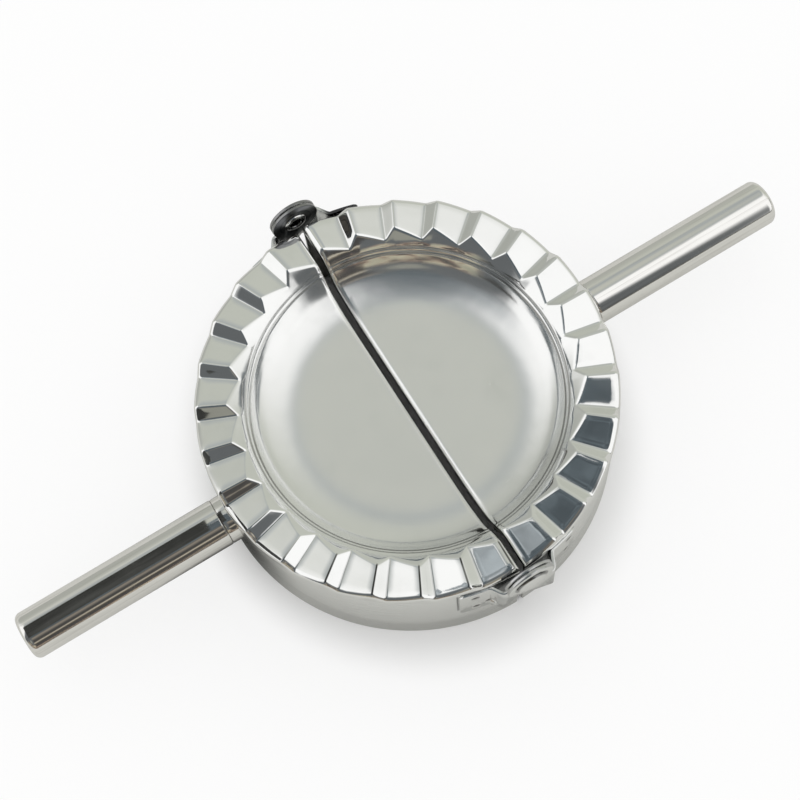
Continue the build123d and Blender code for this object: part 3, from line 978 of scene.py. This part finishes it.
# %% Tumbled steel of the leaves
def leaf_finish(tree):
    bright, dull = (0.92, 0.925, 0.915), (0.83, 0.835, 0.825)
    ear_edge_shade, lifted_top_shade, joggle_shade = (0.12, 0.12, 0.125), (0.09, 0.09, 0.095), (0.3, 0.305, 0.31)
    head_shadow_dark, burnt_dark, inner_face_shade = (0.14, 0.14, 0.14), (0.10, 0.095, 0.09), (0.085, 0.09, 0.1)
    spot, (x, y, z) = coordinates(tree)
    side = abs(y)
    speck = grain(tree, spot, 2.2, 3.0, 0.6)
    cloud = grain(tree, spot, 0.3, 3.0, 0.6)
    burnt = weld_marks(tree, joined(tree, x, side, z))
    up = z - PIVOT_HEIGHT
    from_pivot = distance(x, up)
    # Painted shade on the inner faces round the pivot, toward the press.
    shaded_inner_faces = tree.falls(side, 49.38, 49.5) * tree.falls(from_pivot, 5.4, 7.6) * (0.72 + cloud * 0.28)
    # Painted shade on the joggle, away from the ear.
    bend = tree.rises(side, 48.2, 48.9) * tree.rises(from_pivot, 7.2, 9.0, 0.45)
    # A ring of painted shadow round the rivet's head.
    head_shadow_ring = tree.line(from_pivot - 3.95, 0.1, 0.34, 0.8)
    # Painted shade along the ear's round top edge, stronger at the rear hinge.
    ear_edge = tree.rises(from_pivot, 5.5, 5.75) * tree.falls(from_pivot, 5.95, 6.3)
    ear_edge = ear_edge * tree.rises(up, -3.0, 0.0)
    # Painted shade on the lifted top of the rear leaf, above the rim.
    bar = tree.rises(z, 27.75, 28.05) * tree.rises(x, 6.5, 8.0) * tree.rises(y, 0.0, 1.0)
    colour = tree.blend(cloud, bright, dull)
    colour = tree.blend(ear_edge * tree.between(y, 0.0, 1.0, 0.35, 0.75), colour, ear_edge_shade)
    colour = tree.blend(bar, colour, lifted_top_shade)
    colour = tree.blend(bend, colour, joggle_shade)
    colour = tree.blend(head_shadow_ring, colour, head_shadow_dark)
    colour = tree.blend(burnt, colour, burnt_dark)
    colour = tree.blend(shaded_inner_faces, colour, inner_face_shade)
    rough = 0.16 + speck * 0.1 + burnt * 0.2 + shaded_inner_faces * 0.12
    normal = relief(tree, speck, 0.004)
    normal = relief(tree, cloud, 0.02, normal)
    return colour, rough, normal


# %% [markdown]
# A rivet's head was struck bright, with painted shade round its edge and in the
# hollow of its curled end. The handles are drawn tube: the fine lines run along
# them, and slow waves round the tube break the reflections into streaks. The
# screws and washers inside are plain dull steel, and they show only when the
# press is turned over.

# %% Bright steel of the rivets
def rivet_finish(tree):
    bright, dull = (0.93, 0.93, 0.92), (0.8, 0.805, 0.8)
    hollow_shade, head_edge_shade = (0.05, 0.05, 0.055), (0.13, 0.13, 0.13)
    spot, (x, y, z) = coordinates(tree)
    from_pivot = distance(x, z - PIVOT_HEIGHT)
    speck = grain(tree, spot, 1.6, 3.0, 0.6)
    recess = tree.falls(from_pivot, 1.5, 1.75) * tree.falls(abs(y), 50.7, 50.9)
    colour = tree.blend(speck, bright, dull)
    # Painted shade in the hollow of the curled end.
    colour = tree.blend(recess * 0.9, colour, hollow_shade)
    # Painted shade round the edge of the head.
    colour = tree.blend(tree.rises(from_pivot, 3.3, 3.6, 0.8), colour, head_edge_shade)
    return colour, 0.1 + speck * 0.12, relief(tree, speck, 0.006)


# %% Drawn steel of the handles
def handle_finish(tree):
    bright, dull, streaked = (0.955, 0.945, 0.92), (0.88, 0.87, 0.84), (0.62, 0.60, 0.57)
    spot, (x, y, z) = coordinates(tree)
    lines = grain(tree, joined(tree, x * 0.03, y * 3.2, z * 3.2), 1.0, 3.0, 0.65)
    waves = grain(tree, joined(tree, x * 0.022, y * 0.34, z * 0.34), 1.0, 2.0, 0.5)
    cloud = grain(tree, spot, 0.12, 4.0, 0.6)
    streak = tree.rises(grain(tree, joined(tree, x * 0.03, y * 1.3, z * 1.3), 1.0, 3.0, 0.6), 0.5, 0.72)
    colour = tree.blend(cloud, bright, dull)
    colour = tree.blend(streak * 0.5, colour, streaked)
    rough = 0.045 + lines * 0.06 + tree.rises(cloud, 0.5, 0.7) * 0.05
    normal = relief(tree, waves, 0.035)
    normal = relief(tree, lines, 0.0012, normal)
    return colour, rough, normal


# %% Dull steel of the screws and washers
def fastener_finish(tree):
    spot = coordinates(tree)[0]
    speck = grain(tree, spot, 1.3, 4.0, 0.65)
    cloud = grain(tree, spot, 0.25, 3.0, 0.6)
    colour = tree.blend(cloud, (0.78, 0.78, 0.77), (0.62, 0.625, 0.62))
    return colour, 0.22 + speck * 0.14, relief(tree, speck, 0.008)


# %% Give every piece its finish
FINISH = {
    "pressed_steel": finish("pressed_steel", pressed_finish),
    "band_steel": finish("band_steel", band_finish),
    "leaf_steel": finish("leaf_steel", leaf_finish),
    "rivet_steel": finish("rivet_steel", rivet_finish),
    "handle_steel": finish("handle_steel", handle_finish),
    "fastener_steel": finish("fastener_steel", fastener_finish),
}
for piece, body, node, slot in PIECES:
    piece.data.materials.clear()
    piece.data.materials.append(FINISH[slot])
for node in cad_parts.values():
    for material_slot in node.material_slots:
        material_slot.material = FINISH["fastener_steel"]
print(len(FINISH), "finishes on", len(PIECES), "pieces")

# %% [markdown]
# ## The floor
#
# The press stands on plain white paper. Lamps strong enough to burn the paper
# white would burn the steel too, so the paper glows instead, for the camera
# alone and only away from the press, where its soft shadow has ended. In the
# steel the same floor looks greyer, and darker still under the left handle.

# %% Lay the pale floor
PAPER, MIRRORED_PAPER, DEEP_SHADE = (0.96, 0.96, 0.955), (0.62, 0.62, 0.59), (0.05, 0.05, 0.047)
bpy.ops.mesh.primitive_plane_add(size=6)
floor = bpy.context.object
floor.name = "pale_floor"
floor_paint = bpy.data.materials.new("floor_paint")
tree = Tree(floor_paint)
rays = tree.outputs("ShaderNodeLightPath")
x, y, z = coordinates(tree)[1]
under_handle = tree.falls(distance(x + 52, y - 2), 6.0, 26.0, 0.92)
shaded = tree.blend(under_handle, MIRRORED_PAPER, DEEP_SHADE)
paint = tree.node("ShaderNodeBsdfDiffuse", None, tree.blend(rays["Is Glossy Ray"], PAPER, shaded))
glow = tree.node("ShaderNodeEmission", None, (1.0, 1.0, 1.0), 1.0)
open_floor = tree.rises((x * x + y * y * 0.85) ** 0.5, 46.0, 57.0)
paper = tree.node("ShaderNodeMixShader", None, rays["Is Camera Ray"] * open_floor * 0.72, paint, glow)
tree.node("ShaderNodeOutputMaterial", None, paper)
floor.data.materials.append(floor_paint)
print("floor is", [round(side, 2) for side in floor.dimensions], "m")

# %% [markdown]
# ## The studio
#
# Polished steel has hardly a colour of its own: it shows the room. A white tent
# lights the press evenly, and round cards of grey stand in it where the steel
# should turn dark. The cards could be planes, each with a place to find, but in
# the world's shader a card is one number, the angle between the look and the
# card's middle, and it can be soft at its edge. Only mirror rays see the cards,
# so they tone the reflections and leave the light on the floor even.

# %% Cards in the world
world = bpy.data.worlds.new("soft_studio")
bpy.context.scene.world = world
tree = Tree(world)
look = tree.node("ShaderNodeTexCoord", None)


def toward(azimuth, elevation):
    """The unit direction at an azimuth and elevation in degrees."""
    flat = cos(radians(elevation))
    return (flat * cos(radians(azimuth)), flat * sin(radians(azimuth)), sin(radians(elevation)))


def card(azimuth, elevation, radius, soft):
    """How much of a round card in the studio a direction meets."""
    middle = toward(azimuth, elevation)
    near = tree.node("ShaderNodeVectorMath", {"operation": "DOT_PRODUCT"}, look, middle, output=1)
    return tree.rises(near, cos(radians(radius + soft)), cos(radians(max(radius - soft, 0))))


# Each card: azimuth, elevation, radius and softness in degrees, and its tone.
CARDS = [
    (54.5, -8, 70, 23, (0.53, 0.545, 0.49)), (70, 66, 23, 5, (0.40, 0.425, 0.425)),
    (67, 70, 12, 6, (0.53, 0.54, 0.49)), (98, 0, 32, 18, (0.41, 0.42, 0.39)),
    (218, 50, 32, 6, (0.19, 0.21, 0.222)), (237, 15, 56, 5, (0.122, 0.13, 0.135)),
]
tent = (1.02, 1.02, 1.02)
for azimuth, elevation, radius, soft, tone in CARDS:
    tent = tree.blend(card(azimuth, elevation, radius, soft), tent, tone)
print(len(CARDS), "cards in the tent")

# %% [markdown]
# A real room is never only grey cards. Its low part is cluttered, which the rear
# wall of the pan shows as small warm patches, and shelves behind the camera run
# as brown and beige streaks along the handle. Noise through a colour ramp makes
# the clutter, and a ramp over the height of the look makes the shelves. Two
# small cards and a dark skirting board stand in front of them.

# %% Clutter and shelves in the room
CLUTTER = [(0.38, (0.045, 0.05, 0.055)), (0.47, (0.12, 0.11, 0.1)), (0.5, (0.24, 0.12, 0.09))]
CLUTTER += [(0.54, (0.58, 0.53, 0.4)), (0.66, (0.3, 0.31, 0.24))]
SHELVES = [(0.0, (0.16, 0.14, 0.12)), (0.2, (0.06, 0.06, 0.06)), (0.39, (0.065, 0.06, 0.055))]
SHELVES += [(0.45, (0.3, 0.26, 0.2)), (0.485, (0.52, 0.49, 0.41)), (0.515, (0.4, 0.36, 0.29))]
SHELVES += [(0.55, (0.07, 0.065, 0.06)), (0.68, (0.06, 0.06, 0.06)), (0.81, (0.27, 0.24, 0.2))]
SHELVES += [(0.875, (0.05, 0.05, 0.05))]
axes = tree.outputs("ShaderNodeSeparateXYZ", look)
sideways, height = axes["X"], axes["Z"]
flattened = tree.node("ShaderNodeVectorMath", {"operation": "MULTIPLY"}, look, (1.0, 1.0, 2.4))
jumble = {"Scale": 5.0, "Detail": 4.0, "Roughness": 0.62, "Distortion": 0.5}
noise = tree.node("ShaderNodeTexNoise", None, flattened, **jumble)
clutter = tree.node("ShaderNodeValToRGB", {"stops": CLUTTER}, noise)
tent = tree.blend(card(240, 4, 40, 5) * tree.falls(height, 0.27, 0.42), tent, clutter)
shelves = tree.node("ShaderNodeValToRGB", {"stops": SHELVES}, height + (noise - 0.5) * 0.05)
tent = tree.blend(tree.line(sideways + 0.045, 0.1, 0.16) * card(270, 36, 24, 5), tent, shelves)
tent = tree.blend(card(236, 36, 9, 3), tent, (0.28, 0.28, 0.245))
tent = tree.blend(card(344, 0, 11, 4), tent, (0.19, 0.21, 0.22))
tent = tree.blend(tree.falls(height, 0.05, 0.07) * card(312, 0, 40, 4), tent, (0.12, 0.115, 0.1))
print(len(CLUTTER), "tones of clutter and", len(SHELVES), "of the shelves")

# %% Show the room to mirror rays only
WHITE = (1.0, 1.0, 1.0)
rays = tree.outputs("ShaderNodeLightPath")
shown = tree.blend(rays["Is Camera Ray"], tree.blend(rays["Is Glossy Ray"], WHITE, tent), WHITE)
tree.node("ShaderNodeOutputWorld", None, tree.node("ShaderNodeBackground", None, shown, 1.0))
print("the room has", len(tree.nodes), "nodes")

# %% [markdown]
# Cards in the world are endlessly far off, so a flat facet shows the same tone
# at every point of it. Where the tone changes from one end of the press to the
# other, a studio hangs a flag of matt cloth close by. The flags are stage pieces:
# they cast no shadow, and the camera doesn't see them. A flag's outline in plan
# decides which facets it darkens.

# %% Hang the flags
FOLD_LIGHT = 1.9


def flag(name, corners, height, colour):
    """A matt card hung over the press that only the metal's reflections show."""
    piece = draw(name, [(x, y, height) for x, y in corners], closed=True)
    bpy.ops.mesh.edge_face_add()
    bpy.ops.object.mode_set(mode="OBJECT")
    piece.visible_camera = False
    piece.visible_diffuse = False
    piece.visible_shadow = False
    piece.visible_transmission = False
    material = bpy.data.materials.new(name + "_cloth")
    tree = Tree(material)
    folds = tree.rises(grain(tree, coordinates(tree)[0], 0.045, 3.0), 0.35, 0.7)
    cloth = tree.blend(folds, colour, tuple(FOLD_LIGHT * part for part in colour))
    tree.node("ShaderNodeOutputMaterial", None, tree.node("ShaderNodeEmission", None, cloth, 1.0))
    piece.data.materials.append(material)
    bpy.ops.object.select_all(action="DESELECT")
    print(name, "hangs at", height, "mm")


DARK_CORNERS = [(30, -225), (36, -60), (-22, 10), (-32, -40), (-60, 20), (-108, 45), (-150, 45)]
DARK_CORNERS += [(-152, -20), (-170, -225)]
PAN_CORNERS = [(-60, 60), (-15, 52), (44, 40), (42, -10), (20, -45), (-60, 0)]
HANDLE_CORNERS = [(-52.3, -12.8), (-52.3, 14.1), (-112, 14.1), (-112, -12.8)]
MID_CORNERS = [(-108, -6), (-116, 60), (-135, 98), (-182, 88), (-178, 40), (-151, -10)]
flag("dark_flag", DARK_CORNERS, 400, (0.07, 0.085, 0.095))
flag("pan_flag", PAN_CORNERS, 404, (0.13, 0.15, 0.16))
flag("handle_flag", HANDLE_CORNERS, 45, (0.036, 0.037, 0.035))
flag("mid_flag", MID_CORNERS, 396, (0.24, 0.265, 0.28))

# %% [markdown]
# ## The camera
#
# A camera is easiest to place by what it looks at: a point to aim at, the
# direction and distance to stand at, and a roll about the line of sight. The
# press is seen steeply from above, so that both the pan and the skirt show.

# %% Place the camera
AIM = Vector((6.91, 11.27, 30.0)) * MM
AZIMUTH, ELEVATION, DISTANCE, ROLL = 244.75, 68.04, 394.71, -6.72
camera_data = bpy.data.cameras.new("camera")
camera_data.lens = 78.895
camera_data.shift_x = -0.008
camera_data.shift_y = -0.08
camera = bpy.data.objects.new("camera", camera_data)
bpy.context.scene.collection.objects.link(camera)
line_of_sight = Vector(toward(AZIMUTH, ELEVATION))
camera.location = AIM + line_of_sight * DISTANCE * MM
turned_camera = (-line_of_sight).to_track_quat("-Z", "Y") @ Quaternion((0, 0, 1), radians(ROLL))
camera.rotation_euler = turned_camera.to_euler()
bpy.context.scene.camera = camera
bpy.context.scene.view_settings.view_transform = "Standard"
print("camera stands at", [round(part / MM) for part in camera.location], "mm")
